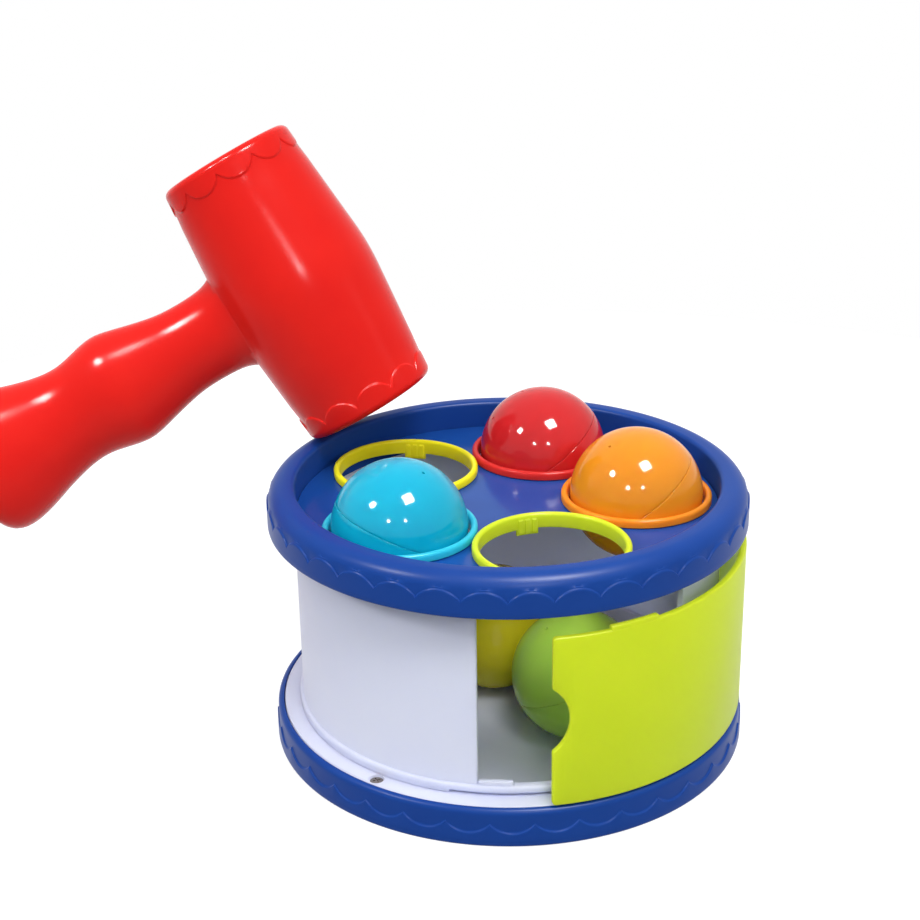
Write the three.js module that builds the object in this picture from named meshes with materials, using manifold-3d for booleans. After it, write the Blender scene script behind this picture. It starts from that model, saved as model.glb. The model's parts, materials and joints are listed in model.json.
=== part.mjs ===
// Ball pounding drum. Balls sit in sprung collars on the deck, a mallet drives them through,
// and they roll out of a window in the wall that a curved door closes.
// Millimetres, +Z up, origin on the table under the drum's axis. The front is -Y, and bearings
// are degrees from the front, positive towards +X.
import * as THREE from 'three';
import { mergeVertices } from 'three/addons/utils/BufferGeometryUtils.js';
import Module from 'manifold-3d';

const wasm = await Module();
wasm.setup();

// Clearance between neighbouring pieces, and where one slides or clips past another
const FIT_GAP = 0.3;
const RUN_GAP = 0.5;
// Length by which a cutting shape runs past the face that it cuts
const CUT_PAST = 1;

// Balls
const BALL_RADIUS = 25;
const BALL_WALL = 1.6;
const BALL_SPIGOT_HEIGHT = 2;
const BALL_SPIGOT_WALL = 1.2;
const BALL_SPIGOT_ROOT = 2.5;
const BALL_SEAT_RISE = 2.6;

// Collars
const COLLAR_RIB_DEPTH = 0.65;
const COLLAR_WALL = 1;
const COLLAR_BEAD_WIDTH = 2.4;
const COLLAR_BEAD_HEIGHT = 3.2;
const COLLAR_SKIRT_DEPTH = 2.3;
const COLLAR_SPACING = 0.6;
const FIRST_COLLAR_BEARING = 18.8;
const FINGER_COUNT = 3;
const FINGER_WIDTH = 8.5;
const FINGER_DEPTH = 2.3;
const RIB_COUNT = 3;
const RIB_WIDTH = 1.6;
const RIB_PITCH = 2.7;
const RIB_TOP_MARGIN = 0.4;

// Deck and rim
const DECK_THICKNESS = 1.8;
const DECK_MARGIN = 2.3;
const RIM_WIDTH = 10.2;
const RIM_RISE = 10.7;
const RIM_DROP = 4.3;
const RIM_SHELL = 2.2;
const RIM_OUTER_ROUND = 6;
const RIM_INNER_ROUND = 1.6;
const RIM_FLANGE = 1.5;
const RIM_SPIGOT_DEPTH = 2.4;
const SKIRT_CLEARANCE = 0.5;

// Wall and its window
const ROOM_HEIGHT = 87.6;
const WALL_STEP = 0.8;
const WALL_THICKNESS = 2.4;
const WALL_BEAD_WIDTH = 1.8;
const WALL_BEAD_HEIGHT = 2.3;
const WINDOW_BEARING = 21.2;
const WINDOW_SPAN = 58;
const SILL_LIP_HEIGHT = 1.3;
const SILL_LIP_SPAN = 9;

// Door
const DOOR_THICKNESS = 2.5;
const DOOR_OVERLAP = 11;
const DOOR_TAIL_ANGLE = 26;
const DOOR_OPENED = 28.4;
const DOOR_TRAVEL = 69;
const DOOR_TOP_GAP = 7.8;
const DOOR_FOOT_GAP = 0.9;
const TONGUE_THICKNESS = 0.9;
const TONGUE_LEAD_ANGLE = 4;
const STOP_SPAN = 2;
const NOTCH_HEIGHT = 24.5;
const NOTCH_DEPTH = 6.2;
const NOTCH_RISE = 0.9;
const LUG_OFFSET = 13.2;
const LUG_SPAN = 12.2;
const LUG_HEIGHT = 1.5;

// Base
const DISH_FLOOR = 1.5;
const DISH_WALL = 2.3;
const DISH_HEIGHT = 14.7;
const DISH_FOOT_ROUND = 1;
const DISH_TOP_ROUND = 2.1;
const TRAY_FLOOR = 1.8;
const TRAY_RISER = 2;
const TRAY_SPIGOT_HEIGHT = 2.3;
const LEDGE_WIDTH = 10.1;
const LEDGE_THICKNESS = 1.8;

// Ledge screws and their bosses
const SCREW_COUNT = 4;
const FIRST_SCREW_BEARING = -34;
const SCREW_HEAD_RADIUS = 2.5;
const SCREW_HEAD_HEIGHT = 0.7;
const SCREW_SHANK_RADIUS = 1.3;
const SCREW_LENGTH = 9;
const SCREW_SINK = 0.4;
const SCREW_INSET = 3.3;
const BOSS_WALL = 1.7;

// Mallet
const HEAD_LENGTH = 112;
const HEAD_END_RADIUS = 27.3;
const HEAD_WAIST_RADIUS = 31.8;
const HEAD_LIP_LENGTH = 7.5;
const HEAD_LIP_STEP = 0.6;
const HEAD_EDGE_ROUND = 3;
const HANDLE_LENGTH = 155;
const HANDLE_FLATNESS = 0.78;
const NECK_RADIUS = 17;
const NECK_REACH = 46;
const GRIP_RADIUS = 23.4;
const GRIP_REACH = 83;
const WAVE_RADIUS = 20;
const WAVE_REACH = 103;
const BUTT_RADIUS = 29.2;
const BUTT_LENGTH = 11;
const BUTT_DOME_ANGLES = [40, 75];
const MALLET_WALL = 2;
const BLOW_HOLE_RADIUS = 3;
const MALLET_LEAN = -10;
const MALLET_TILT = -29.65;
const MALLET_BEARING = -118.95;
const MALLET_TOUCH_TURN = 179;
const MALLET_TOUCH_SLOPE = 19.8;

// How finely round forms are faceted
const BALL_SIDES = 18;
const COLLAR_SIDES = 24;
const DRUM_SIDES = 48;
const SCREW_SIDES = 10;
const HEAD_SIDES = 24;
const HANDLE_SIDES = 16;
const HANDLE_STEPS = 9;
const ROUND_STEPS = 3;
const FILLET_STEPS = 2;
const BALL_STEPS = 5;
const NOTCH_STEPS = 8;

const COLOURS = {
  yellow: 0xf5e61a,
  lime: 0xb4d334,
  cyan: 0x1fb4d6,
  red: 0xd62a2a,
  orange: 0xf58a28,
};
// Going round from the front, with what each collar's ball is doing
const STATIONS = [
  { colour: 'lime', seated: false, seamTilt: 26, seamHeading: -108 },
  { colour: 'orange', seated: true, seamTilt: 37, seamHeading: -90 },
  { colour: 'red', seated: true, seamTilt: 36, seamHeading: -87 },
  { colour: 'yellow', seated: false, seamTilt: 68, seamHeading: -2 },
  { colour: 'cyan', seated: true, seamTilt: 24, seamHeading: 110 },
];
// Where the two driven balls lie against each other on the floor
const FALLEN_X = 10.5;
const FALLEN_Y = 1.3;
const FALLEN_BEARING = 39;

// Sizes that follow from the ones above
const ribRadius = BALL_RADIUS + FIT_GAP;
const collarInner = ribRadius + COLLAR_RIB_DEPTH;
const collarOuter = collarInner + COLLAR_WALL;
const beadOuter = collarInner + COLLAR_BEAD_WIDTH;
const holeRadius = collarOuter + RUN_GAP;
const pitchRadius = (beadOuter + COLLAR_SPACING / 2) / Math.sin(Math.PI / STATIONS.length);
const deckRadius = pitchRadius + beadOuter + DECK_MARGIN;
const rimInner = deckRadius + FIT_GAP;
const rimOuter = rimInner + RIM_WIDTH;
const wallOuter = rimInner + WALL_STEP;
const wallInner = wallOuter - WALL_THICKNESS;
const spigotOuter = wallInner - FIT_GAP;
const flangeInner = pitchRadius + collarOuter + SKIRT_CLEARANCE;

const trayBottom = DISH_FLOOR + FIT_GAP;
const floorTop = trayBottom + TRAY_FLOOR;
const ledgeTop = DISH_HEIGHT;
const wallBottom = ledgeTop + FIT_GAP;
const beadBottom = wallBottom + TONGUE_THICKNESS + FIT_GAP;
const sillTop = beadBottom + WALL_BEAD_HEIGHT;
const deckTop = floorTop + ROOM_HEIGHT + DECK_THICKNESS;
const deckBottom = deckTop - DECK_THICKNESS;
const flangeTop = deckBottom - FIT_GAP;
const flangeBottom = flangeTop - RIM_FLANGE;
const wallTop = flangeBottom - FIT_GAP;
const rimTop = deckTop + RIM_RISE;
const rimBottom = deckTop - RIM_DROP;
const seatHeight = deckTop + BALL_SEAT_RISE;
const ballOnFloor = floorTop + BALL_RADIUS + FIT_GAP;

const beadRing = wallOuter + WALL_BEAD_WIDTH;
const trayInner = spigotOuter - TRAY_RISER;
const ledgeOuter = spigotOuter + LEDGE_WIDTH;
const dishInner = ledgeOuter + FIT_GAP;
const dishOuter = dishInner + DISH_WALL;
const screwRadius = ledgeOuter - SCREW_INSET;
const headSeat = ledgeTop - SCREW_SINK - SCREW_HEAD_HEIGHT;
const boreRadius = SCREW_SHANK_RADIUS + FIT_GAP;

const doorOuter = dishOuter - FIT_GAP;
const doorInner = doorOuter - DOOR_THICKNESS;
const doorBottom = ledgeTop + DOOR_FOOT_GAP;
const doorTop = rimBottom - DOOR_TOP_GAP;
const doorHalfSpan = WINDOW_SPAN / 2 + DOOR_OVERLAP;
const doorBearing = WINDOW_BEARING + DOOR_OPENED;

const radians = THREE.MathUtils.degToRad;

// A point in plan at a radius and a bearing
function plan(radius, bearing) {
  const angle = radians(bearing);
  return new THREE.Vector2(radius * Math.sin(angle), -radius * Math.cos(angle));
}

// A closed mesh as a solid, with its faces turned outwards
function solid(geometry) {
  const bare = geometry.clone();
  bare.deleteAttribute('normal');
  bare.deleteAttribute('uv');
  const merged = mergeVertices(bare, 1e-4);
  const points = merged.getAttribute('position');
  const index = merged.getIndex().array;
  const corners = [0, 1, 2].map(() => new THREE.Vector3());
  const triangles = [];
  let volume = 0;
  for (let i = 0; i < index.length; i += 3) {
    const [a, b, c] = index.slice(i, i + 3);
    if (a !== b && b !== c && c !== a) {
      triangles.push([a, b, c]);
      [a, b, c].forEach((vertex, k) => corners[k].fromBufferAttribute(points, vertex));
      volume += corners[0].dot(corners[1].clone().cross(corners[2]));
    }
  }
  const facing = volume < 0 ? triangles.map((corner) => corner.reverse()) : triangles;
  return new wasm.Manifold(new wasm.Mesh({
    numProp: 3,
    vertProperties: Float32Array.from(points.array),
    triVerts: Uint32Array.from(facing.flat()),
  }));
}

function geometryOf(body) {
  const mesh = body.getMesh();
  const geometry = new THREE.BufferGeometry();
  geometry.setAttribute('position', new THREE.BufferAttribute(mesh.vertProperties, 3));
  geometry.setIndex(new THREE.BufferAttribute(mesh.triVerts, 1));
  geometry.computeVertexNormals();
  return geometry;
}

// A profile of [radius, height] points turned about Z. It closes on itself or on the axis.
function revolve(profile, sides) {
  const points = profile.map(([radius, height]) => new THREE.Vector2(radius, height));
  const closesOnAxis = points[0].x === 0 && points.at(-1).x === 0;
  if (!closesOnAxis) {
    points.push(points[0].clone());
  }
  return solid(new THREE.LatheGeometry(points, sides).rotateX(Math.PI / 2));
}

// Points along an arc from one angle to another, both ends included
function arc(x, y, radius, from, to, steps) {
  return Array.from({ length: steps + 1 }, (_, i) => {
    const angle = radians(from + ((to - from) * i) / steps);
    return [x + radius * Math.cos(angle), y + radius * Math.sin(angle)];
  });
}

function extrude(shape, bottom, top) {
  const geometry = new THREE.ExtrudeGeometry(shape, {
    depth: top - bottom,
    bevelEnabled: false,
    curveSegments: COLLAR_SIDES / 2,
  });
  return solid(geometry.translate(0, 0, bottom));
}

// A piece of a ring between two bearings
function ringPiece(inner, outer, from, to, bottom, top) {
  const steps = Math.max(1, Math.ceil((Math.abs(to - from) * DRUM_SIDES) / 360));
  const bearings = Array.from({ length: steps + 1 }, (_, i) => from + ((to - from) * i) / steps);
  const outline = [
    ...bearings.map((bearing) => plan(outer, bearing)),
    ...bearings.reverse().map((bearing) => plan(inner, bearing)),
  ];
  return extrude(new THREE.Shape(outline), bottom, top);
}

function cylinder(radius, bottom, top, place = new THREE.Vector2()) {
  const geometry = new THREE.CylinderGeometry(radius, radius, top - bottom, SCREW_SIDES);
  geometry.rotateX(Math.PI / 2).translate(place.x, place.y, (bottom + top) / 2);
  return solid(geometry);
}

function joined(bodies) {
  return bodies.reduce((whole, body) => whole.add(body));
}

function plastic(colour, roughness) {
  return new THREE.MeshStandardMaterial({ color: colour, roughness, metalness: 0 });
}

function piece(name, body, material) {
  const mesh = new THREE.Mesh(geometryOf(body), material);
  mesh.name = name;
  return mesh;
}

// Top rim: an open-bottomed shell with a rounded crown. Its inner flange carries the deck,
// and the spigot under the flange centres the wall.
function topRim() {
  const crownX = rimOuter - RIM_OUTER_ROUND;
  const crownY = rimTop - RIM_OUTER_ROUND;
  const shellInner = rimInner + RIM_SHELL;
  const shellTop = rimTop - RIM_SHELL;
  const shellRound = RIM_OUTER_ROUND - RIM_SHELL;
  return revolve([
    [rimOuter, rimBottom],
    ...arc(crownX, crownY, RIM_OUTER_ROUND, 0, 90, ROUND_STEPS),
    ...arc(rimInner + RIM_INNER_ROUND, rimTop - RIM_INNER_ROUND, RIM_INNER_ROUND, 90, 180,
      FILLET_STEPS),
    [rimInner, flangeTop],
    [flangeInner, flangeTop],
    [flangeInner, flangeBottom - RIM_SPIGOT_DEPTH],
    [spigotOuter, flangeBottom - RIM_SPIGOT_DEPTH],
    [spigotOuter, flangeBottom],
    [shellInner, flangeBottom],
    [shellInner, shellTop],
    [crownX, shellTop],
    [crownX + shellRound, crownY],
    [rimOuter - RIM_SHELL, rimBottom],
  ], DRUM_SIDES);
}

// Deck plate. The facets of its holes line up with those of the collars.
function drumDeck() {
  const shape = new THREE.Shape().absarc(0, 0, deckRadius, 0, 2 * Math.PI);
  STATIONS.forEach((_, i) => {
    const bearing = stationBearing(i);
    const { x, y } = plan(pitchRadius, bearing);
    const edge = arc(x, y, holeRadius, bearing, bearing + 360, COLLAR_SIDES).slice(0, -1);
    shape.holes.push(new THREE.Path(edge.map((point) => new THREE.Vector2(...point))));
  });
  return extrude(shape, deckBottom, deckTop);
}

function stationBearing(i) {
  return FIRST_COLLAR_BEARING + (360 / STATIONS.length) * i;
}

// Collar about its own axis, with the deck's top at height zero. A bead lies on the deck, a thin
// skirt goes through it, and three fingers with upright ribs reach further down to grip the ball.
function collar() {
  const beadRound = COLLAR_BEAD_WIDTH / 2;
  const beadMiddle = collarInner + beadRound;
  const roundHeight = FIT_GAP + COLLAR_BEAD_HEIGHT - beadRound;
  const ring = revolve([
    [beadOuter, FIT_GAP],
    ...arc(beadMiddle, roundHeight, beadRound, 0, 180, ROUND_STEPS),
    [collarInner, -COLLAR_SKIRT_DEPTH],
    [collarOuter, -COLLAR_SKIRT_DEPTH],
    [collarOuter, FIT_GAP],
  ], COLLAR_SIDES);
  const fingerSpan = THREE.MathUtils.radToDeg(FINGER_WIDTH / collarInner);
  const ribSpan = THREE.MathUtils.radToDeg(RIB_WIDTH / collarInner);
  const ribStep = THREE.MathUtils.radToDeg(RIB_PITCH / collarInner);
  const fingerFoot = -COLLAR_SKIRT_DEPTH - FINGER_DEPTH;
  const ribBack = collarInner + COLLAR_WALL / 2;
  const ribTop = roundHeight - RIB_TOP_MARGIN;
  const pieces = [];
  for (let i = 0; i < FINGER_COUNT; i += 1) {
    const middle = (360 / FINGER_COUNT) * i;
    const skirtOverlap = -COLLAR_SKIRT_DEPTH + CUT_PAST;
    pieces.push(ringPiece(collarInner, collarOuter, middle - fingerSpan / 2, middle + fingerSpan / 2,
      fingerFoot, skirtOverlap));
    for (let k = 0; k < RIB_COUNT; k += 1) {
      const bearing = middle + (k - (RIB_COUNT - 1) / 2) * ribStep;
      pieces.push(ringPiece(ribRadius, ribBack, bearing - ribSpan / 2, bearing + ribSpan / 2,
        fingerFoot + COLLAR_WALL, ribTop));
    }
  }
  return joined([ring, ...pieces]);
}

// Upper half of a ball about the ball's centre, its seam plane level
function ballCap() {
  const seam = FIT_GAP / 2;
  const inner = BALL_RADIUS - BALL_WALL;
  const start = THREE.MathUtils.radToDeg(Math.asin(seam / BALL_RADIUS));
  const innerStart = THREE.MathUtils.radToDeg(Math.asin(seam / inner));
  return revolve([
    ...arc(0, 0, BALL_RADIUS, start, 90, BALL_STEPS).slice(0, -1),
    [0, BALL_RADIUS],
    [0, inner],
    ...arc(0, 0, inner, 90, innerStart, FILLET_STEPS).slice(1),
  ], BALL_SIDES);
}

// Lower half, with the spigot that stands inside the cap
function ballCup() {
  const seam = FIT_GAP / 2;
  const inner = BALL_RADIUS - BALL_WALL;
  const spigot = inner - BALL_SPIGOT_WALL;
  const start = THREE.MathUtils.radToDeg(Math.asin(seam / BALL_RADIUS));
  const rootAngle = THREE.MathUtils.radToDeg(Math.asin(BALL_SPIGOT_ROOT / inner));
  return revolve([
    [0, -BALL_RADIUS],
    ...arc(0, 0, BALL_RADIUS, -90, -start, BALL_STEPS).slice(1),
    [spigot, -seam],
    [spigot, BALL_SPIGOT_HEIGHT],
    [spigot - BALL_SPIGOT_WALL, BALL_SPIGOT_HEIGHT],
    [spigot - BALL_SPIGOT_WALL, -BALL_SPIGOT_ROOT],
    ...arc(0, 0, inner, -rootAngle, -90, FILLET_STEPS).slice(0, -1),
    [0, -inner],
  ], BALL_SIDES);
}

// Wall with the bead round its foot. The groove under the bead takes the door's tongue and is
// blocked by a stop at each end of the door's travel, and the window runs up to the rim.
function drumWall() {
  const tube = revolve([
    [wallInner, wallBottom],
    [wallOuter, wallBottom],
    [wallOuter, beadBottom],
    [beadRing, beadBottom],
    [beadRing, sillTop - WALL_BEAD_WIDTH / 2],
    [wallOuter, sillTop],
    [wallOuter, wallTop],
    [wallInner, wallTop],
  ], DRUM_SIDES);
  const left = WINDOW_BEARING - WINDOW_SPAN / 2;
  const right = WINDOW_BEARING + WINDOW_SPAN / 2;
  const window = ringPiece(wallInner - CUT_PAST, wallOuter + CUT_PAST, left, right,
    sillTop, wallTop + CUT_PAST);
  const lip = ringPiece(wallInner, wallOuter, left - CUT_PAST, left + SILL_LIP_SPAN,
    sillTop - CUT_PAST, sillTop + SILL_LIP_HEIGHT);
  const gapAngle = THREE.MathUtils.radToDeg(FIT_GAP / wallOuter);
  const closedEnd = WINDOW_BEARING - doorHalfSpan + TONGUE_LEAD_ANGLE - gapAngle;
  const openEnd = WINDOW_BEARING + doorHalfSpan + DOOR_TAIL_ANGLE + DOOR_TRAVEL + gapAngle;
  const stops = [[closedEnd - STOP_SPAN, closedEnd], [openEnd, openEnd + STOP_SPAN]]
    .map(([from, to]) => ringPiece(wallOuter - WALL_THICKNESS / 2, beadRing - FIT_GAP, from, to,
      wallBottom, beadBottom + WALL_BEAD_HEIGHT / 2));
  return joined([tube.subtract(window), lip, ...stops]);
}

// Door: a curved panel that runs on past the window, with a foot tongue in the wall's groove, a
// finger notch in its leading edge and a low lug on its top edge
function slidingDoor() {
  const lead = doorBearing - doorHalfSpan;
  const trail = doorBearing + doorHalfSpan + DOOR_TAIL_ANGLE;
  const panel = ringPiece(doorInner, doorOuter, lead, trail, doorBottom, doorTop);
  const tongue = ringPiece(wallOuter + RUN_GAP, doorInner + DOOR_THICKNESS / 2,
    lead + TONGUE_LEAD_ANGLE, trail, wallBottom, wallBottom + TONGUE_THICKNESS);
  const lug = ringPiece(doorInner, doorOuter, lead + LUG_OFFSET, lead + LUG_OFFSET + LUG_SPAN,
    doorTop - CUT_PAST, doorTop + LUG_HEIGHT);
  return joined([panel, tongue, lug]).subtract(fingerNotch(lead));
}

// Cutter for the finger notch, a segment of a circle pushed through the door's leading edge
function fingerNotch(lead) {
  const middle = (doorBottom + doorTop) / 2 + NOTCH_RISE;
  const half = NOTCH_HEIGHT / 2;
  const radius = (half ** 2 + NOTCH_DEPTH ** 2) / (2 * NOTCH_DEPTH);
  const sweep = THREE.MathUtils.radToDeg(Math.asin(half / radius));
  const edge = arc(NOTCH_DEPTH - radius, 0, radius, -sweep, sweep, NOTCH_STEPS);
  const outline = [[-CUT_PAST, -half], ...edge, [-CUT_PAST, half]];
  const geometry = new THREE.ExtrudeGeometry(
    new THREE.Shape(outline.map((point) => new THREE.Vector2(...point))),
    { depth: DOOR_THICKNESS + 2 * CUT_PAST, bevelEnabled: false },
  );
  geometry.rotateX(Math.PI / 2).translate(0, -doorInner + CUT_PAST, middle);
  return solid(geometry.rotateZ(radians(lead)));
}

// Base dish, with a boss under each ledge screw
function baseDish() {
  const bowl = revolve([
    [0, 0],
    [dishOuter - DISH_FOOT_ROUND, 0],
    [dishOuter, DISH_FOOT_ROUND],
    ...arc(dishOuter - DISH_TOP_ROUND, DISH_HEIGHT - DISH_TOP_ROUND, DISH_TOP_ROUND, 0, 90,
      FILLET_STEPS),
    [dishInner, DISH_HEIGHT],
    [dishInner, DISH_FLOOR],
    [0, DISH_FLOOR],
  ], DRUM_SIDES);
  const bossTop = ledgeTop - LEDGE_THICKNESS - FIT_GAP;
  const places = screwPlaces();
  const bosses = places.map((place) => cylinder(boreRadius + BOSS_WALL, DISH_FLOOR / 2, bossTop, place));
  const bores = places.map((place) => cylinder(boreRadius, DISH_FLOOR, bossTop + CUT_PAST, place));
  return joined([bowl, ...bosses]).subtract(joined(bores));
}

function screwPlaces() {
  return Array.from({ length: SCREW_COUNT }, (_, i) => (
    plan(screwRadius, FIRST_SCREW_BEARING + (360 / SCREW_COUNT) * i)
  ));
}

// White floor tray: a spigot that centres the wall, and the ledge round it with its screw holes
function baseTray() {
  const tray = revolve([
    [0, trayBottom],
    [spigotOuter, trayBottom],
    [spigotOuter, ledgeTop - LEDGE_THICKNESS],
    [ledgeOuter, ledgeTop - LEDGE_THICKNESS],
    [ledgeOuter, ledgeTop],
    [spigotOuter, ledgeTop],
    [spigotOuter, ledgeTop + TRAY_SPIGOT_HEIGHT],
    [trayInner, ledgeTop + TRAY_SPIGOT_HEIGHT],
    [trayInner, floorTop],
    [0, floorTop],
  ], DRUM_SIDES);
  const holes = screwPlaces().flatMap((place) => [
    cylinder(SCREW_HEAD_RADIUS + FIT_GAP, headSeat - FIT_GAP, ledgeTop + CUT_PAST, place),
    cylinder(boreRadius, ledgeTop - LEDGE_THICKNESS - CUT_PAST, ledgeTop, place),
  ]);
  return tray.subtract(joined(holes));
}

function ledgeScrew(place) {
  return cylinder(SCREW_HEAD_RADIUS, headSeat, headSeat + SCREW_HEAD_HEIGHT, place)
    .add(cylinder(SCREW_SHANK_RADIUS, headSeat - SCREW_LENGTH, headSeat + FIT_GAP, place));
}

// Mallet head about its own axis, striking end at height zero, drawn in all over by an inset
function malletHead(inset) {
  const end = HEAD_END_RADIUS - inset;
  const barrel = end - HEAD_LIP_STEP;
  const round = HEAD_EDGE_ROUND;
  const half = [
    [0, inset],
    ...arc(end - round, inset + round, round, -90, 0, FILLET_STEPS),
    [end, HEAD_LIP_LENGTH],
    [barrel, HEAD_LIP_LENGTH + HEAD_LIP_STEP],
    [HEAD_WAIST_RADIUS - inset, HEAD_LENGTH / 2],
  ];
  const mirrored = half.slice(0, -1).reverse().map(([r, h]) => [r, HEAD_LENGTH - h]);
  return revolve([...half, ...mirrored], HEAD_SIDES);
}

// Handle along -X from the head's axis: rounded sections whose half widths swell for the grip
// and dip for the fingers, closed by a domed butt
function malletHandle(inset) {
  const middle = HEAD_LENGTH / 2;
  const buttReach = HANDLE_LENGTH - BUTT_LENGTH;
  const widths = new THREE.SplineCurve([
    new THREE.Vector2(0, NECK_RADIUS),
    new THREE.Vector2(NECK_REACH, NECK_RADIUS),
    new THREE.Vector2(GRIP_REACH, GRIP_RADIUS),
    new THREE.Vector2(WAVE_REACH, WAVE_RADIUS),
    new THREE.Vector2(buttReach, BUTT_RADIUS),
  ]).getPoints(HANDLE_STEPS);
  const dome = BUTT_DOME_ANGLES.map((angle) => new THREE.Vector2(
    buttReach + BUTT_LENGTH * Math.sin(radians(angle)), BUTT_RADIUS * Math.cos(radians(angle))));
  const sections = [...widths, ...dome].map(({ x, y }) => {
    const reach = Math.min(x, HANDLE_LENGTH - inset);
    const half = y - inset;
    return arc(0, 0, 1, 0, 360, HANDLE_SIDES).slice(0, -1).map(([c, s]) => (
      new THREE.Vector3(-reach, half * HANDLE_FLATNESS * c, middle + half * s)
    ));
  });
  return loft(sections);
}

// Skin over rings of equally many points, closed by a flat fan at both ends
function loft(rings) {
  const count = rings[0].length;
  const points = rings.flat();
  const triangles = [];
  for (let ring = 0; ring + 1 < rings.length; ring += 1) {
    for (let i = 0; i < count; i += 1) {
      const a = ring * count + i;
      const b = ring * count + ((i + 1) % count);
      triangles.push(a, b, a + count, b, b + count, a + count);
    }
  }
  const end = (rings.length - 1) * count;
  for (let i = 1; i + 1 < count; i += 1) {
    triangles.push(0, i + 1, i, end, end + i, end + i + 1);
  }
  const geometry = new THREE.BufferGeometry().setFromPoints(points);
  geometry.setIndex(triangles);
  return solid(geometry);
}

// Mallet, one hollow moulding with a blow hole in its butt
function malletBody() {
  const outside = malletHead(0).add(malletHandle(0));
  const inside = malletHead(MALLET_WALL).add(malletHandle(MALLET_WALL));
  const through = 2 * (MALLET_WALL + CUT_PAST);
  const pin = new THREE.CylinderGeometry(BLOW_HOLE_RADIUS, BLOW_HOLE_RADIUS, through, SCREW_SIDES);
  pin.rotateZ(Math.PI / 2).translate(-HANDLE_LENGTH, 0, HEAD_LENGTH / 2);
  return outside.subtract(inside).subtract(solid(pin));
}

const satinBlue = plastic(0x2148a0, 0.42);
const glossBlue = plastic(0x3c4da2, 0.25);
const white = plastic(0xd6dcec, 0.4);
const limeDoor = plastic(0xc0d62e, 0.4);
const redMallet = plastic(0xec2525, 0.35);
const steel = new THREE.MeshStandardMaterial({ color: 0xa8abb0, roughness: 0.35, metalness: 1 });

const drum = new THREE.Group();
drum.add(
  piece('base_dish', baseDish(), satinBlue),
  piece('base_tray', baseTray(), white),
  piece('drum_wall', drumWall(), white),
  piece('sliding_door', slidingDoor(), limeDoor),
  piece('top_rim', topRim(), satinBlue),
  piece('drum_deck', drumDeck(), glossBlue),
  ...screwPlaces().map((place, i) => piece(`ledge_screw_${i + 1}`, ledgeScrew(place), steel)),
);

// Each collar has a finger towards the drum's axis
const collarBody = collar();
STATIONS.forEach(({ colour }, i) => {
  const place = plan(pitchRadius, stationBearing(i));
  const ring = piece(`collar_${colour}`, collarBody, plastic(COLOURS[colour], 0.3));
  ring.position.set(place.x, place.y, deckTop);
  ring.rotation.z = radians(stationBearing(i) + 180);
  drum.add(ring);
});

// Two driven balls lie touching on the floor, one on each side of a shared point
const capBody = ballCap();
const cupBody = ballCup();
const fallenReach = BALL_RADIUS + FIT_GAP / 2;
const fallenSide = { lime: 1, yellow: -1 };
STATIONS.forEach(({ colour, seated, seamTilt, seamHeading }, i) => {
  const ball = new THREE.Group();
  if (seated) {
    const place = plan(pitchRadius, stationBearing(i));
    ball.position.set(place.x, place.y, seatHeight);
  } else {
    const step = plan(fallenReach * fallenSide[colour], FALLEN_BEARING);
    ball.position.set(FALLEN_X + step.x, FALLEN_Y + step.y, ballOnFloor);
  }
  const lean = plan(1, seamHeading + 90);
  ball.rotation.setFromQuaternion(new THREE.Quaternion().setFromAxisAngle(
    new THREE.Vector3(lean.x, lean.y, 0), radians(seamTilt)));
  const shell = plastic(COLOURS[colour], 0.12);
  ball.add(piece(`ball_${colour}_cap`, capBody, shell), piece(`ball_${colour}_cup`, cupBody, shell));
  drum.add(ball);
});

// The mallet rests on the rim's crown with the rounded edge of its striking end
const mallet = new THREE.Group();
const slope = radians(MALLET_TOUCH_SLOPE);
const reach = RIM_OUTER_ROUND + FIT_GAP + HEAD_EDGE_ROUND;
const crown = plan(rimOuter - RIM_OUTER_ROUND + reach * Math.sin(slope), MALLET_BEARING);
mallet.position.set(crown.x, crown.y, rimTop - RIM_OUTER_ROUND + reach * Math.cos(slope));
mallet.rotation.set(radians(MALLET_LEAN), radians(MALLET_TILT), 0);
const touch = radians(MALLET_TOUCH_TURN);
const touchRadius = HEAD_END_RADIUS - HEAD_EDGE_ROUND;
const malletMesh = piece('mallet', malletBody(), redMallet);
malletMesh.position.set(-touchRadius * Math.cos(touch), -touchRadius * Math.sin(touch), -HEAD_EDGE_ROUND);
mallet.add(malletMesh);
drum.add(mallet);

export default drum;
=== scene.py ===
# %% [markdown]
# # A ball pounding drum
# The drum is a set of moulded plastic pieces: a blue base and rim, a white wall with a sliding door,
# five coloured collars that hold balls, and a red mallet. The imported CAD model gives every piece its
# place and its body, so the first step only loads it.

# %% Load the frame
import json
import math
import bpy
from mathutils import Matrix, Vector

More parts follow.
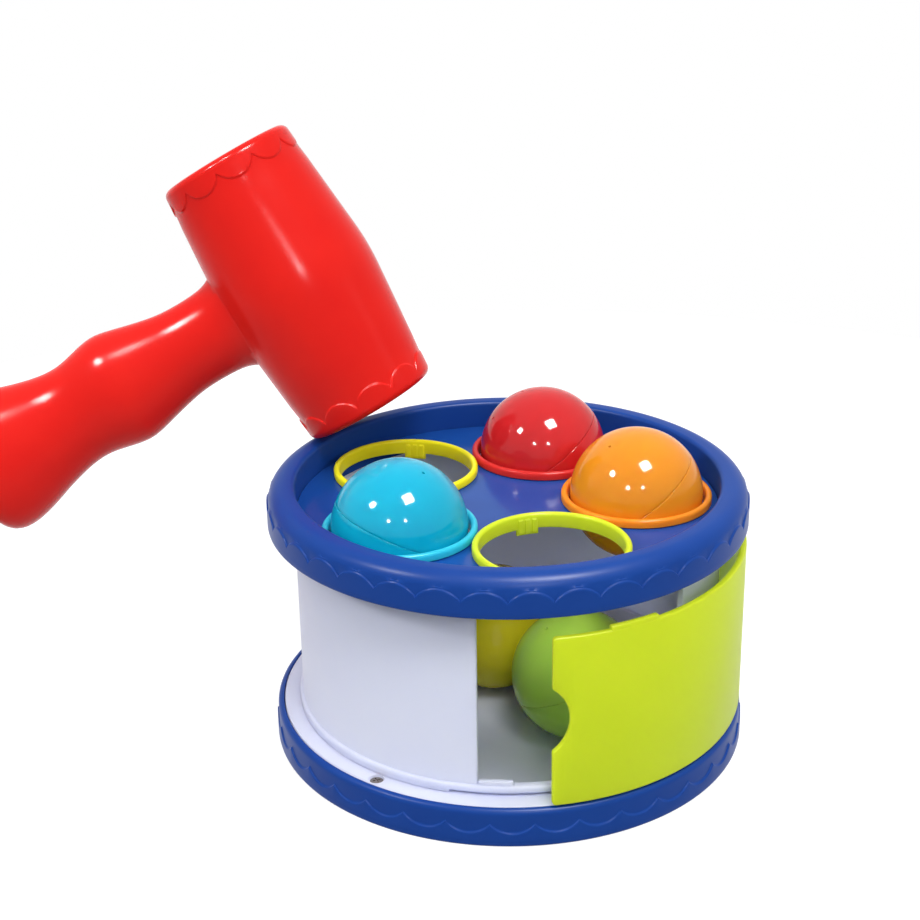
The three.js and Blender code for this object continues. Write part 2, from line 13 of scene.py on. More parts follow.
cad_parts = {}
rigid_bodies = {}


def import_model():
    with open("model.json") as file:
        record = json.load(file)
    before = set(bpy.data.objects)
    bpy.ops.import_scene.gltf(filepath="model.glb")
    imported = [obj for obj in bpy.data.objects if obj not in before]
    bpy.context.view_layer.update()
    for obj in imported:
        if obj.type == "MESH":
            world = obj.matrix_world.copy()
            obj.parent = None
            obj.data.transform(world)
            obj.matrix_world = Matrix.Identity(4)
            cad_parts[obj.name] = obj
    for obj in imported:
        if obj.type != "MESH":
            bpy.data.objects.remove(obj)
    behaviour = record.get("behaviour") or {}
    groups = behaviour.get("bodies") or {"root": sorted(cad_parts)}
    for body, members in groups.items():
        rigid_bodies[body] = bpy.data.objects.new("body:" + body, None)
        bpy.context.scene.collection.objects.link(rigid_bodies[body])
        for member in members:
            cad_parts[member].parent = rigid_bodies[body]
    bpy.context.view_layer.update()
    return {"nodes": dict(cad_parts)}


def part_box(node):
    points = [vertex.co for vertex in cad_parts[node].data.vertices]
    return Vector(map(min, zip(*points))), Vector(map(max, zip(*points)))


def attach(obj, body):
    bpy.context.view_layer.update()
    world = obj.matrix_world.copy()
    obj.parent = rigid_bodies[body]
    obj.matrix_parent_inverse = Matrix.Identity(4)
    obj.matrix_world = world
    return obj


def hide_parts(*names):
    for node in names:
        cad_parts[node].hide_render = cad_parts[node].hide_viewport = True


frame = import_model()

# %% [markdown]
# ## The camera
# A camera is matched to a photograph by hand with guide lines, or solved from circles whose size is
# known. Here the rim, the base and the balls gave the place, the turn and the lens, so the camera is
# set from those numbers. Bearings are degrees from the front, positive to the right.

# %% Camera
MM = 0.001
CAMERA_PLACE = (0, -591.48, 347.65)
CAMERA_YAW = math.radians(1.704)
CAMERA_PITCH = math.radians(-21.924)
CAMERA_ROLL = math.radians(-0.941)
SENSOR_WIDTH = 36
FOCAL_PIXELS = 1700
IMAGE_WIDTH = 920

bpy.ops.object.select_all(action="DESELECT")
bpy.ops.object.camera_add()
camera = bpy.context.object
camera.data.sensor_width = SENSOR_WIDTH
camera.data.lens = SENSOR_WIDTH * FOCAL_PIXELS / IMAGE_WIDTH
aim = (Matrix.Rotation(CAMERA_YAW, 4, "Z") @ Matrix.Rotation(math.pi / 2 + CAMERA_PITCH, 4, "X")
       @ Matrix.Rotation(CAMERA_ROLL, 4, "Z"))
camera.matrix_world = Matrix.Translation(Vector(CAMERA_PLACE) * MM) @ aim
bpy.context.scene.camera = camera
print("lens", round(camera.data.lens, 2), "mm")

# %% [markdown]
# ## Turning on a lathe
# Nearly every piece here is round about its own axis, so its section is drawn once, point by point,
# by extruding a single vertex, and then spun about the axis. Doubled points are merged before the
# normals are set, because a spin can leave the skin inside out.

# %% Helpers for turned pieces
MERGE_DISTANCE = 2e-6


def settle():
    if bpy.context.object and bpy.context.object.mode != "OBJECT":
        bpy.ops.object.mode_set(mode="OBJECT")
    bpy.ops.object.select_all(action="DESELECT")


def pick(piece):
    settle()
    piece.select_set(True)
    bpy.context.view_layer.objects.active = piece


def open_for_edit(piece):
    pick(piece)
    bpy.ops.object.mode_set(mode="EDIT")
    bpy.ops.mesh.select_all(action="SELECT")


def merge_points():
    bpy.ops.mesh.select_all(action="SELECT")
    bpy.ops.mesh.remove_doubles(threshold=MERGE_DISTANCE)


def close_up(piece):
    open_for_edit(piece)
    merge_points()
    bpy.ops.mesh.normals_make_consistent(inside=False)
    bpy.ops.object.mode_set(mode="OBJECT")


def drawn(name, points):
    settle()
    bpy.ops.mesh.primitive_plane_add(size=MM)
    piece = bpy.context.object
    piece.name = piece.data.name = name
    open_for_edit(piece)
    bpy.ops.mesh.merge(type="CENTER")
    bpy.ops.transform.translate(value=points[0])
    for last, point in zip(points, points[1:]):
        bpy.ops.mesh.extrude_region_move(TRANSFORM_OT_translate={"value": point - last})
    merge_points()
    return piece


def turned(name, section, steps, start=0.0, sweep=360.0):
    out = Vector((math.sin(math.radians(start)), -math.cos(math.radians(start)), 0))
    piece = drawn(name, [(out * radius + Vector((0, 0, height))) * MM for radius, height in section])
    bpy.ops.mesh.spin(steps=steps, angle=-math.radians(sweep), center=(0, 0, 0), axis=(0, 0, 1))
    merge_points()
    if sweep < 360:
        bpy.ops.mesh.select_all(action="DESELECT")
        bpy.ops.mesh.select_mode(type="EDGE")
        bpy.ops.mesh.select_non_manifold()
        bpy.ops.mesh.edge_face_add()
        bpy.ops.mesh.select_mode(type="VERT")
    close_up(piece)
    return piece


def rounding(middle, radius, first, last, steps):
    angles = [math.radians(first + (last - first) * i / steps) for i in range(steps + 1)]
    return [(middle[0] + radius * math.cos(a), middle[1] + radius * math.sin(a)) for a in angles]


def ring_section(section):
    return section + section[:1]


def disc(name, radius, bottom, top, steps):
    return turned(name, [(0, bottom), (radius, bottom), (radius, top), (0, top)], steps)


def band(name, inner, outer, bottom, top, *spin):
    section = [(inner, bottom), (outer, bottom), (outer, top), (inner, top)]
    return turned(name, ring_section(section), *spin)


# %% Helpers for joining, cutting and placing
def apply(piece, kind, **settings):
    pick(piece)
    modifier = piece.modifiers.new(kind.lower(), kind)
    for key, value in settings.items():
        setattr(modifier, key, value)
    bpy.ops.object.modifier_apply(modifier=modifier.name)


def soften(piece, width, segments, sharper_than, clamp=True):
    apply(piece, "BEVEL", width=width * MM, segments=segments, limit_method="ANGLE",
          angle_limit=math.radians(sharper_than), use_clamp_overlap=clamp)


def combine(piece, tool, operation):
    apply(piece, "BOOLEAN", object=tool, operation=operation, solver="EXACT")
    bpy.data.objects.remove(tool)


def put(piece, matrix):
    pick(piece)
    piece.matrix_world = matrix
    bpy.ops.object.transform_apply(location=True, rotation=True, scale=True)


def copy_of(piece, name):
    pick(piece)
    bpy.ops.object.duplicate()
    twin = bpy.context.object
    twin.name = twin.data.name = name
    return twin


def at_bearing(radius, bearing, height):
    angle = math.radians(bearing)
    return Vector((radius * math.sin(angle), -radius * math.cos(angle), height)) * MM


def dress(piece, body, material, slot, *nodes, crease=35):
    pick(piece)
    bpy.ops.object.shade_smooth_by_angle(angle=math.radians(crease))
    piece.data.materials.clear()
    piece.data.materials.append(material)
    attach(piece, body)
    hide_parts(*nodes)
    print(piece.name, "faces", len(piece.data.polygons))


# %% [markdown]
# ## Moulded plastics
# All the coloured pieces are injection moulded. Polypropylene has a soft satin skin with the fine
# sparked grain of its mould, the balls come from a polished mould, and the deck and the collars lie in
# between. One builder makes them all, and the zinc of the screws too, because the recipe is the same:
# a nearly even colour, a gloss that wanders a little, and a grain in the bump.

# %% Material helpers
def linear(hex_colour):
    parts = [int(hex_colour[i:i + 2], 16) / 255 for i in (1, 3, 5)]
    return [p / 12.92 if p <= 0.04045 else ((p + 0.055) / 1.055) ** 2.4 for p in parts] + [1.0]


def add_node(tree, kind, links=(), **settings):
    node = tree.nodes.new(kind)
    for key, value in settings.items():
        if key in node.bl_rna.properties:
            setattr(node, key, value)
        else:
            node.inputs[key.replace("_", " ")].default_value = value
    for socket, source in links:
        tree.links.new(source, node.inputs[socket])
    return node


def per_size(size_mm):
    return 1 / (size_mm * MM)


CLOUD_MM = 18


def grained_finish(name, colour, shade, roughness, spread, grain_mm, grain_depth_mm,
                   lets_through=0.0, **shader):
    material = bpy.data.materials.new(name)
    material.use_nodes = True
    tree = material.node_tree
    tree.nodes.clear()
    place = add_node(tree, "ShaderNodeTexCoord").outputs["Object"]
    cloud = add_node(tree, "ShaderNodeTexNoise", [("Vector", place)],
                     Scale=per_size(CLOUD_MM), Detail=3.0)
    tint = add_node(tree, "ShaderNodeMix", [("Factor", cloud.outputs["Fac"])], data_type="RGBA")
    tint.inputs["A"].default_value = linear(colour)
    tint.inputs["B"].default_value = linear(shade)
    gloss = add_node(tree, "ShaderNodeMapRange", [("Value", cloud.outputs["Fac"])],
                     To_Min=roughness - spread, To_Max=roughness + spread)
    grain = add_node(tree, "ShaderNodeTexNoise", [("Vector", place)],
                     Scale=per_size(grain_mm), Detail=2.0)
    bump = add_node(tree, "ShaderNodeBump", [("Height", grain.outputs["Fac"])],
                    Strength=1.0, Distance=grain_depth_mm * MM)
    skin = add_node(tree, "ShaderNodeBsdfPrincipled", [
        ("Base Color", tint.outputs["Result"]),
        ("Roughness", gloss.outputs["Result"]),
        ("Normal", bump.outputs["Normal"]),
    ], **shader)
    behind = add_node(tree, "ShaderNodeBsdfTranslucent", [("Color", tint.outputs["Result"])])
    both = add_node(tree, "ShaderNodeMixShader", [
        (1, skin.outputs["BSDF"]),
        (2, behind.outputs["BSDF"]),
    ], Fac=lets_through)
    add_node(tree, "ShaderNodeOutputMaterial", [("Surface", both.outputs["Shader"])])
    return material


# %% Finishes of the drum
# Olefin plastics mirror less than glass does, and a fine grain weakens it further.
SATIN = {"IOR": 1.49, "Specular_IOR_Level": 0.08}
SHEEN = {"IOR": 1.49, "Specular_IOR_Level": 0.14}
GLOSS = {"IOR": 1.49, "Specular_IOR_Level": 0.25}
# Light that enters a thin moulding spreads inside it, so edges and shaded sides glow.
THIN = {"Subsurface_Weight": 0.6, "Subsurface_Radius": (1, 1, 1), "Subsurface_Scale": 6 * MM}
# Sparked grain under a millimetre wide breaks the highlight on the satin pieces.
satin_blue = grained_finish(
    "satin_polypropylene_blue", "#143d8c", "#194494",
    roughness=0.34, spread=0.05, grain_mm=0.7, grain_depth_mm=0.012, **SATIN)
# The deck's mould is smoother, so it mirrors the balls in a soft streak.
gloss_violet = grained_finish(
    "gloss_polypropylene_violet_blue", "#144596", "#1b4ea0",
    roughness=0.13, spread=0.02, grain_mm=1.4, grain_depth_mm=0.006, **SHEEN)
# White with a little blue in it, as toy makers dose it against yellowing.
cool_white = grained_finish(
    "satin_polypropylene_white", "#dadfff", "#e0e5ff",
    roughness=0.38, spread=0.05, grain_mm=0.8, grain_depth_mm=0.01, lets_through=0.08, **SATIN, **THIN)
# A thin lime panel lets light through, so the wall behind it takes on its colour.
lime_panel = grained_finish(
    "satin_polypropylene_lime", "#dcf228", "#e2f72e",
    roughness=0.34, spread=0.05, grain_mm=0.8, grain_depth_mm=0.008, lets_through=0.2, **SHEEN, **THIN)
# Blow moulded polyethylene takes the sanded surface of its mould, which sparkles in a highlight.
blown_red = grained_finish(
    "blow_moulded_polyethylene_red", "#de1c19", "#e6241b",
    roughness=0.18, spread=0.03, grain_mm=0.6, grain_depth_mm=0.03, **SATIN)
# Zinc plating is bright and slightly mottled.
zinc = grained_finish(
    "zinc_plated_steel", "#a39a90", "#7d756d",
    roughness=0.24, spread=0.08, grain_mm=1.2, grain_depth_mm=0.02, Metallic=1.0)

# %% Finishes of the balls and collars
# Polished moulds give the balls a sharp gloss.
BALL_COLOURS = {
    "lime": ("#b8f656", "#c0f85e"),
    "orange": ("#fb8e1a", "#fd9824"),
    "red": ("#cb2227", "#d3292b"),
    "yellow": ("#e3cf22", "#ead72e"),
    "cyan": ("#06aed4", "#12b6da"),
}
ball_gloss = {
    colour: grained_finish(
        f"polished_polystyrene_{colour}", *pair,
        roughness=0.075, spread=0.01, grain_mm=6, grain_depth_mm=0.006, lets_through=0.06, **GLOSS, **THIN)
    for colour, pair in BALL_COLOURS.items()
}
# The collars are softer and a little lighter in colour than the balls.
COLLAR_COLOURS = {
    "lime": ("#c6dc28", "#cee232"),
    "orange": ("#f6851f", "#fa9029"),
    "red": ("#cc2b28", "#d4322e"),
    "yellow": ("#ffee1c", "#fff22a"),
    "cyan": ("#2bb9d7", "#37c1de"),
}
collar_gloss = {
    colour: grained_finish(
        f"gloss_polypropylene_{colour}", *pair,
        roughness=0.24, spread=0.03, grain_mm=1.5, grain_depth_mm=0.006, **SATIN, **THIN)
    for colour, pair in COLLAR_COLOURS.items()
}
print("materials", len(bpy.data.materials))

# %% [markdown]
# ## The scalloped border
# A row of low lobes runs round the rim and the base. It could be cut by a boolean, but rows of the
# lathe mesh that follow the lobes' edge give a cleaner step: each row is one height in the section,
# and after the spin it is slid up or down to the curve and pushed out by the step.

# %% Scallop helpers
LOBES = 36
LOBE_COLUMNS = 24
LOBE_STEP = 0.6
# Place of each row from the lobes' edge, and its share of the step
BORDER_ROWS = [(-1.1, 1.0), (-0.5, 1.0), (-0.2, 0.85), (0.05, 0.35), (0.3, 0.06), (0.6, 0.0)]
# Before the carving the rows lie this far apart, and are found again by height and reach.
ROW_PITCH = 0.4
ROW_SLACK = 0.01
REACH_SLACK = 0.05


def border_rows(lowest):
    return [lowest + ROW_PITCH * i for i in range(len(BORDER_ROWS))]


def lobe_edge(bearing, lobes, width, rise):
    x = (bearing * lobes / 360 % 1 - 0.5) * width
    radius = ((width / 2) ** 2 + rise ** 2) / (2 * rise)
    return math.sqrt(radius ** 2 - x ** 2) - (radius - rise)


def carve_border(piece, radius, rows, cusp, rise, phase, facing,
                 lobes=LOBES, step=LOBE_STEP, taper=0.0):
    width = 2 * math.pi * radius / lobes
    for vertex in piece.data.vertices:
        reach = math.hypot(vertex.co.x, vertex.co.y) / MM
        row = next((r for r, height in enumerate(rows)
                    if abs(vertex.co.z / MM - height) < ROW_SLACK), None)
        if row is None or abs(reach - radius) > REACH_SLACK:
            continue
        bearing = math.degrees(math.atan2(vertex.co.x, -vertex.co.y)) - phase
        offset, share = BORDER_ROWS[row]
        height = cusp + facing * (lobe_edge(bearing, lobes, width, rise) + offset)
        grow = (radius + step * share + taper * (height - rows[0])) / reach
        vertex.co = (vertex.co.x * grow, vertex.co.y * grow, height * MM)


# %% [markdown]
# ## The base
# A shallow blue dish stands on the table, with a white tray screwed into it. The dish's side carries
# the scalloped border with its lobes hanging down, so the rows are turned over, and the lobes are sunk
# instead of raised, because the step's upper side is what catches the light.

# %% Base dish
DISH_RADIUS = 90.49
DISH_INNER = 88.19
DISH_HEIGHT = 14.7
DISH_FLOOR = 1.5
DISH_ROUND = 2.1
DISH_FOOT_ROUND = 1.2
DISH_LIP_ROUND = 0.4
DISH_BAND_BOTTOM = 2.8
DISH_BAND_TOP = 11.6
DISH_LOWEST_ROW = 6.0
DISH_CUSP = 9.2
DISH_LOBE_RISE = 3.7
DISH_PHASE = 5.8
DISH_PROUD = DISH_RADIUS + LOBE_STEP
dish_rows = border_rows(DISH_LOWEST_ROW)[::-1]
dish_section = (
    [(0, 0)]
    + rounding((DISH_PROUD - DISH_FOOT_ROUND, DISH_FOOT_ROUND), DISH_FOOT_ROUND, -90, 0, 4)
    + [(DISH_PROUD, DISH_BAND_BOTTOM)]
    + [(DISH_PROUD, z) for z in reversed(dish_rows)]
    + [(DISH_RADIUS, DISH_BAND_TOP)]
    + rounding((DISH_RADIUS - DISH_ROUND, DISH_HEIGHT - DISH_ROUND), DISH_ROUND, 0, 90, 6)
    + rounding((DISH_INNER + DISH_LIP_ROUND, DISH_HEIGHT - DISH_LIP_ROUND), DISH_LIP_ROUND, 90, 180, 2)
    + [(DISH_INNER, DISH_FLOOR), (0, DISH_FLOOR)]
)
base_dish = turned("dish_with_scallops", dish_section, LOBES * LOBE_COLUMNS)
carve_border(base_dish, DISH_PROUD, dish_rows, DISH_CUSP, DISH_LOBE_RISE, DISH_PHASE, -1,
             step=-LOBE_STEP)
dress(base_dish, "drum", satin_blue, "satin_blue", "base_dish")

# %% Base tray
LEDGE_TOP = 14.7
LEDGE_RADIUS = 87.89
LEDGE_BOTTOM = 12.9
SPIGOT_RADIUS = 77.79
SPIGOT_TOP = 17.0
TRAY_INNER = 75.79
TRAY_FLOOR = 3.6
TRAY_BOTTOM = 1.8
LEDGE_ROUND = 0.5
SPIGOT_CHAMFER = 0.3
FLOOR_FILLET = 2.5
RING_STEPS = 192
tray_section = (
    [(0, TRAY_BOTTOM)]
    + [(SPIGOT_RADIUS, TRAY_BOTTOM), (SPIGOT_RADIUS, LEDGE_BOTTOM), (LEDGE_RADIUS, LEDGE_BOTTOM)]
    + rounding((LEDGE_RADIUS - LEDGE_ROUND, LEDGE_TOP - LEDGE_ROUND), LEDGE_ROUND, 0, 90, 3)
    + [(SPIGOT_RADIUS, LEDGE_TOP), (SPIGOT_RADIUS, SPIGOT_TOP - SPIGOT_CHAMFER)]
    + [(SPIGOT_RADIUS - SPIGOT_CHAMFER, SPIGOT_TOP), (TRAY_INNER + SPIGOT_CHAMFER, SPIGOT_TOP)]
    + [(TRAY_INNER, SPIGOT_TOP - SPIGOT_CHAMFER)]
    + rounding((TRAY_INNER - FLOOR_FILLET, TRAY_FLOOR + FLOOR_FILLET), FLOOR_FILLET, 0, -90, 5)
    + [(0, TRAY_FLOOR)]
)
base_tray = turned("floor_tray_with_ledge", tray_section, RING_STEPS)
print("tray faces", len(base_tray.data.polygons))

# %% Ledge screws
SCREW_BEARINGS = (-34, 56, 146, 236)
SCREW_RING = 84.59
SCREW_HEAD = 2.5
SCREW_SEAT = 13.6
SCREW_TOP = 14.3
SCREW_EDGE = 0.1
SCREW_SHOULDER = 0.35
DOME_RADIUS = 1.7
DOME_DROP = 0.06
SHANK_RADIUS = 1.3
SHANK_LENGTH = 9
SHANK_POINT = 1
CROSS_SLOT = (2.9, 0.6, 0.7)
FIRST_SCREW_TURN = 0.4
RECESS_RADIUS = 2.8
RECESS_DEEPER = 0.3
RECESS_OVER = 1
SCREW_STEPS = 32
RECESS_STEPS = 24
recess = band("recess", 0, RECESS_RADIUS, SCREW_SEAT - RECESS_DEEPER, LEDGE_TOP + RECESS_OVER, RECESS_STEPS)
screw = turned("screw", [
    (0, SCREW_SEAT - SHANK_LENGTH),
    (SHANK_RADIUS, SCREW_SEAT - SHANK_LENGTH + SHANK_POINT),
    (SHANK_RADIUS, SCREW_SEAT),
    (SCREW_HEAD, SCREW_SEAT + SCREW_EDGE),
    (SCREW_HEAD - SCREW_EDGE, SCREW_SEAT + SCREW_SHOULDER),
    (DOME_RADIUS, SCREW_TOP - DOME_DROP),
    (0, SCREW_TOP),
], SCREW_STEPS)
for turn in (0, 90):
    settle()
    bpy.ops.mesh.primitive_cube_add(size=MM)
    slot_cutter = bpy.context.object
    put(slot_cutter, Matrix.Translation((0, 0, SCREW_TOP * MM))
        @ Matrix.Rotation(math.radians(turn), 4, "Z") @ Matrix.Diagonal((*CROSS_SLOT, 1)))
    combine(screw, slot_cutter, "DIFFERENCE")
for index, bearing in enumerate(SCREW_BEARINGS):
    place = (Matrix.Translation(at_bearing(SCREW_RING, bearing, 0))
             @ Matrix.Rotation(FIRST_SCREW_TURN + index, 4, "Z"))
    hole = copy_of(recess, "recess_hole")
    put(hole, place)
    combine(base_tray, hole, "DIFFERENCE")
    fixing = copy_of(screw, f"cross_head_screw_{index + 1}")
    put(fixing, place)
    dress(fixing, "drum", zinc, "steel", f"ledge_screw_{index + 1}")
for pattern in (recess, screw):
    bpy.data.objects.remove(pattern)
dress(base_tray, "drum", cool_white, "satin_white", "base_tray")

# %% [markdown]
# ## The wall and its window
# The wall is one white tube with a bead round its foot, and the window is cut out of it with a piece
# of a wider ring. A narrow bevel softens every cut edge, because a moulded edge is never sharp and
# the bright line along the jamb comes from that rounding.

# %% Drum wall
WALL_OUTER = 80.49
WALL_INNER = 78.09
WALL_BOTTOM = 15.0
WALL_TOP = 89.1
GROOVE_TOP = 16.2
BEAD_RADIUS = 81.7
SILL_TOP = 18.5
WINDOW_LEFT = -7.8
WINDOW_SPAN = 58
LIP_SPAN = 9
LIP_HEIGHT = 1.3
LIP_ROOT = 1
LIP_INSET = 0.1
BEAD_FOOT_ROUND = 0.3
BEAD_HEAD_ROUND = 0.9
JAMB_ROUND = 0.35
CUT_MARGIN = 2
WALL_STEPS = 180
wall_section = ring_section(
    [(WALL_INNER, WALL_BOTTOM), (WALL_OUTER, WALL_BOTTOM), (WALL_OUTER, GROOVE_TOP)]
    + rounding((BEAD_RADIUS - BEAD_FOOT_ROUND, GROOVE_TOP + BEAD_FOOT_ROUND), BEAD_FOOT_ROUND, -90, 0, 2)
    + rounding((BEAD_RADIUS - BEAD_HEAD_ROUND, SILL_TOP - BEAD_HEAD_ROUND), BEAD_HEAD_ROUND, 0, 90, 4)
    + [(WALL_OUTER, SILL_TOP), (WALL_OUTER, WALL_TOP), (WALL_INNER, WALL_TOP)]
)
drum_wall = turned("wall_with_window", wall_section, WALL_STEPS)
window_cut = band("window_cut", WALL_INNER - CUT_MARGIN, BEAD_RADIUS + CUT_MARGIN,
                  SILL_TOP, WALL_TOP + CUT_MARGIN, WINDOW_SPAN, WINDOW_LEFT, WINDOW_SPAN)
combine(drum_wall, window_cut, "DIFFERENCE")
sill_lip = band("sill_lip", WALL_INNER, WALL_OUTER - LIP_INSET, SILL_TOP - LIP_ROOT, SILL_TOP + LIP_HEIGHT,
                LIP_SPAN, WINDOW_LEFT - LIP_ROOT, LIP_SPAN + LIP_ROOT)
combine(drum_wall, sill_lip, "UNION")
soften(drum_wall, JAMB_ROUND, 2, sharper_than=50, clamp=False)

# %% Foot of the wall
# The groove under the bead runs only as far as the door's tongue does, the rest is filled.
GROOVE_END = 156.4
GROOVE_SPAN = 171.4
FILL_INNER = WALL_INNER + 1
FILL_OUTER = BEAD_RADIUS - 0.05
FILL_BOTTOM = WALL_BOTTOM + 0.02
FILL_TOP = GROOVE_TOP + 0.6
FILL_STEPS = 96
foot_fill = band("foot_fill", FILL_INNER, FILL_OUTER, FILL_BOTTOM, FILL_TOP,
                 FILL_STEPS, GROOVE_END, 360 - GROOVE_SPAN)
combine(drum_wall, foot_fill, "UNION")
dress(drum_wall, "drum", cool_white, "satin_white", "drum_wall")

# %% [markdown]
# ## The sliding door
# The door is a slice of a larger ring, so its section is spun through 106 degrees and capped. The
# finger notch is an outline pushed through its leading edge, the lug on top is a second, shorter
# slice, and a tongue along the foot runs in the groove of the wall.

# %% Door
DOOR_INNER = 87.69
DOOR_OUTER = 90.19
DOOR_BOTTOM = 15.6
DOOR_TOP = 80.9
DOOR_LEAD = 9.6
DOOR_SPAN = 106
LUG_START = 13.2
LUG_SPAN = 12.2
LUG_HEIGHT = 1.5
TONGUE_INNER = 80.99
TONGUE_BOTTOM = 15.0
TONGUE_TOP = 15.9
TONGUE_INSET = 4
TONGUE_TAIL = 0.5
TONGUE_ROOT = 1.2
DOOR_STEPS = 84
door = band("curved_sliding_door", DOOR_INNER, DOOR_OUTER, DOOR_BOTTOM, DOOR_TOP,
            DOOR_STEPS, DOOR_LEAD, DOOR_SPAN)
print("door faces", len(door.data.polygons))

# %% Finger notch and rounded corners
NOTCH_HEIGHT = 24.5
NOTCH_DEPTH = 6.2
NOTCH_RISE = 0.9
NOTCH_MIDDLE = (DOOR_BOTTOM + DOOR_TOP) / 2 + NOTCH_RISE
CORNER_ROUND = 1.6
CUTTER_LEAD = 3
CUTTER_OVER = 1
CUTTER_DEPTH = 8
DOOR_ROUND = 0.6
# The cut takes a hair off the whole leading edge, so that no two faces of the boolean share a plane.
TRIM = 0.05
notch_radius = ((NOTCH_HEIGHT / 2) ** 2 + NOTCH_DEPTH ** 2) / (2 * NOTCH_DEPTH)
notch_reach = math.degrees(math.asin(NOTCH_HEIGHT / 2 / notch_radius))
foot = DOOR_BOTTOM - NOTCH_MIDDLE - TRIM
head = DOOR_TOP - NOTCH_MIDDLE + TRIM
lead_outline = (
    [(-CUTTER_LEAD, foot - CUTTER_OVER), (CORNER_ROUND + TRIM, foot - CUTTER_OVER)]
    + rounding((CORNER_ROUND + TRIM, foot + CORNER_ROUND), CORNER_ROUND, -90, -180, 6)
    + rounding((NOTCH_DEPTH + TRIM - notch_radius, 0), notch_radius, -notch_reach, notch_reach, 20)
    + rounding((CORNER_ROUND + TRIM, head - CORNER_ROUND), CORNER_ROUND, 180, 90, 6)
    + [(CORNER_ROUND + TRIM, head + CUTTER_OVER), (-CUTTER_LEAD, head + CUTTER_OVER)]
)
corners = [Vector((x, -DOOR_OUTER - CUT_MARGIN, NOTCH_MIDDLE + z)) * MM for x, z in lead_outline]
notch = drawn("notch", corners + corners[:1])
bpy.ops.mesh.edge_face_add()
bpy.ops.mesh.extrude_region_move(TRANSFORM_OT_translate={"value": (0, CUTTER_DEPTH * MM, 0)})
close_up(notch)
put(notch, Matrix.Rotation(math.radians(DOOR_LEAD), 4, "Z"))
combine(door, notch, "DIFFERENCE")
soften(door, DOOR_ROUND, 3, sharper_than=40, clamp=False)

# %% Lug and tongue of the door
LUG_ROOT = 2
LUG_INSET = 0.1
LUG_ROUND = 0.5
LUG_STEPS = 10
lug = band("lug", DOOR_INNER + LUG_INSET, DOOR_OUTER - LUG_INSET, DOOR_TOP - LUG_ROOT, DOOR_TOP + LUG_HEIGHT,
           LUG_STEPS, DOOR_LEAD + LUG_START, LUG_SPAN)
soften(lug, LUG_ROUND, 3, sharper_than=40)
combine(door, lug, "UNION")
tongue = band("tongue", TONGUE_INNER, DOOR_INNER + TONGUE_ROOT, TONGUE_BOTTOM, TONGUE_TOP,
              DOOR_STEPS, DOOR_LEAD + TONGUE_INSET, DOOR_SPAN - TONGUE_INSET - TONGUE_TAIL)
combine(door, tongue, "UNION")
dress(door, "door", lime_panel, "lime_door", "sliding_door")

# %% [markdown]
# ## The rim and the deck
# The rim is a hollow moulding with a rounded crown, and its side carries the border with the lobes
# standing up. The deck is a plate with five holes, cut by five copies of one round punch.

# %% Top rim
RIM_OUTER = 89.89
RIM_INNER = 79.69
RIM_TOP = 103.7
RIM_BOTTOM = 88.7
CROWN_ROUND = 6
INNER_ROUND = 1.6
FLANGE_TOP = 90.9
FLANGE_BOTTOM = 89.4
FLANGE_INNER = 76.19
RIM_SPIGOT_BOTTOM = 87.0
RIM_SHELL = 2.2
RIM_CUSP = 94.6
RIM_LOBE_RISE = 4.0
RIM_FOOT_ROUND = 0.7
RIM_BAND_BOTTOM = 91.4
RIM_LOWEST_ROW = 93.0
CROWN_START = 15
rim_rows = border_rows(RIM_LOWEST_ROW)
rim_foot = RIM_OUTER + LOBE_STEP
crown = (RIM_OUTER - CROWN_ROUND, RIM_TOP - CROWN_ROUND)
rim_section = ring_section(
    rounding((rim_foot - RIM_FOOT_ROUND, RIM_BOTTOM + RIM_FOOT_ROUND), RIM_FOOT_ROUND, -90, 0, 3)
    + [(rim_foot, RIM_BAND_BOTTOM)]
    + [(RIM_OUTER, z) for z in rim_rows]
    + rounding(crown, CROWN_ROUND, CROWN_START, 90, 9)
    + rounding((RIM_INNER + INNER_ROUND, RIM_TOP - INNER_ROUND), INNER_ROUND, 90, 180, 5)
    + [(RIM_INNER, FLANGE_TOP), (FLANGE_INNER, FLANGE_TOP), (FLANGE_INNER, RIM_SPIGOT_BOTTOM)]
    + [(SPIGOT_RADIUS, RIM_SPIGOT_BOTTOM), (SPIGOT_RADIUS, FLANGE_BOTTOM)]
    + [(RIM_INNER + RIM_SHELL, FLANGE_BOTTOM), (RIM_INNER + RIM_SHELL, RIM_TOP - RIM_SHELL)]
    + rounding(crown, CROWN_ROUND - RIM_SHELL, 90, 0, 4)
    + [(RIM_OUTER - RIM_SHELL, RIM_BOTTOM)]
)
top_rim = turned("rim_with_scallops", rim_section, LOBES * LOBE_COLUMNS)
carve_border(top_rim, RIM_OUTER, rim_rows, RIM_CUSP, RIM_LOBE_RISE, 0, 1)
dress(top_rim, "drum", satin_blue, "satin_blue", "top_rim")

# %% Deck
DECK_RADIUS = 79.39
DECK_TOP = 93.0
DECK_BOTTOM = 91.2
HOLE_RADIUS = 27.45
PITCH_RADIUS = 48.742
STATION_BEARINGS = {"lime": 18.8, "orange": 90.8, "red": 162.8, "yellow": 234.8, "cyan": 306.8}
HOLE_STEPS = 96
deck = disc("deck_plate", DECK_RADIUS, DECK_BOTTOM, DECK_TOP, RING_STEPS)
punch = disc("punch", HOLE_RADIUS, DECK_BOTTOM - CUT_MARGIN, DECK_TOP + CUT_MARGIN, HOLE_STEPS)
for bearing in STATION_BEARINGS.values():
    hole = copy_of(punch, "punch_hole")
    put(hole, Matrix.Translation(at_bearing(PITCH_RADIUS, bearing, 0)))
    combine(deck, hole, "DIFFERENCE")
bpy.data.objects.remove(punch)
dress(deck, "drum", gloss_violet, "gloss_violet_blue", "drum_deck")

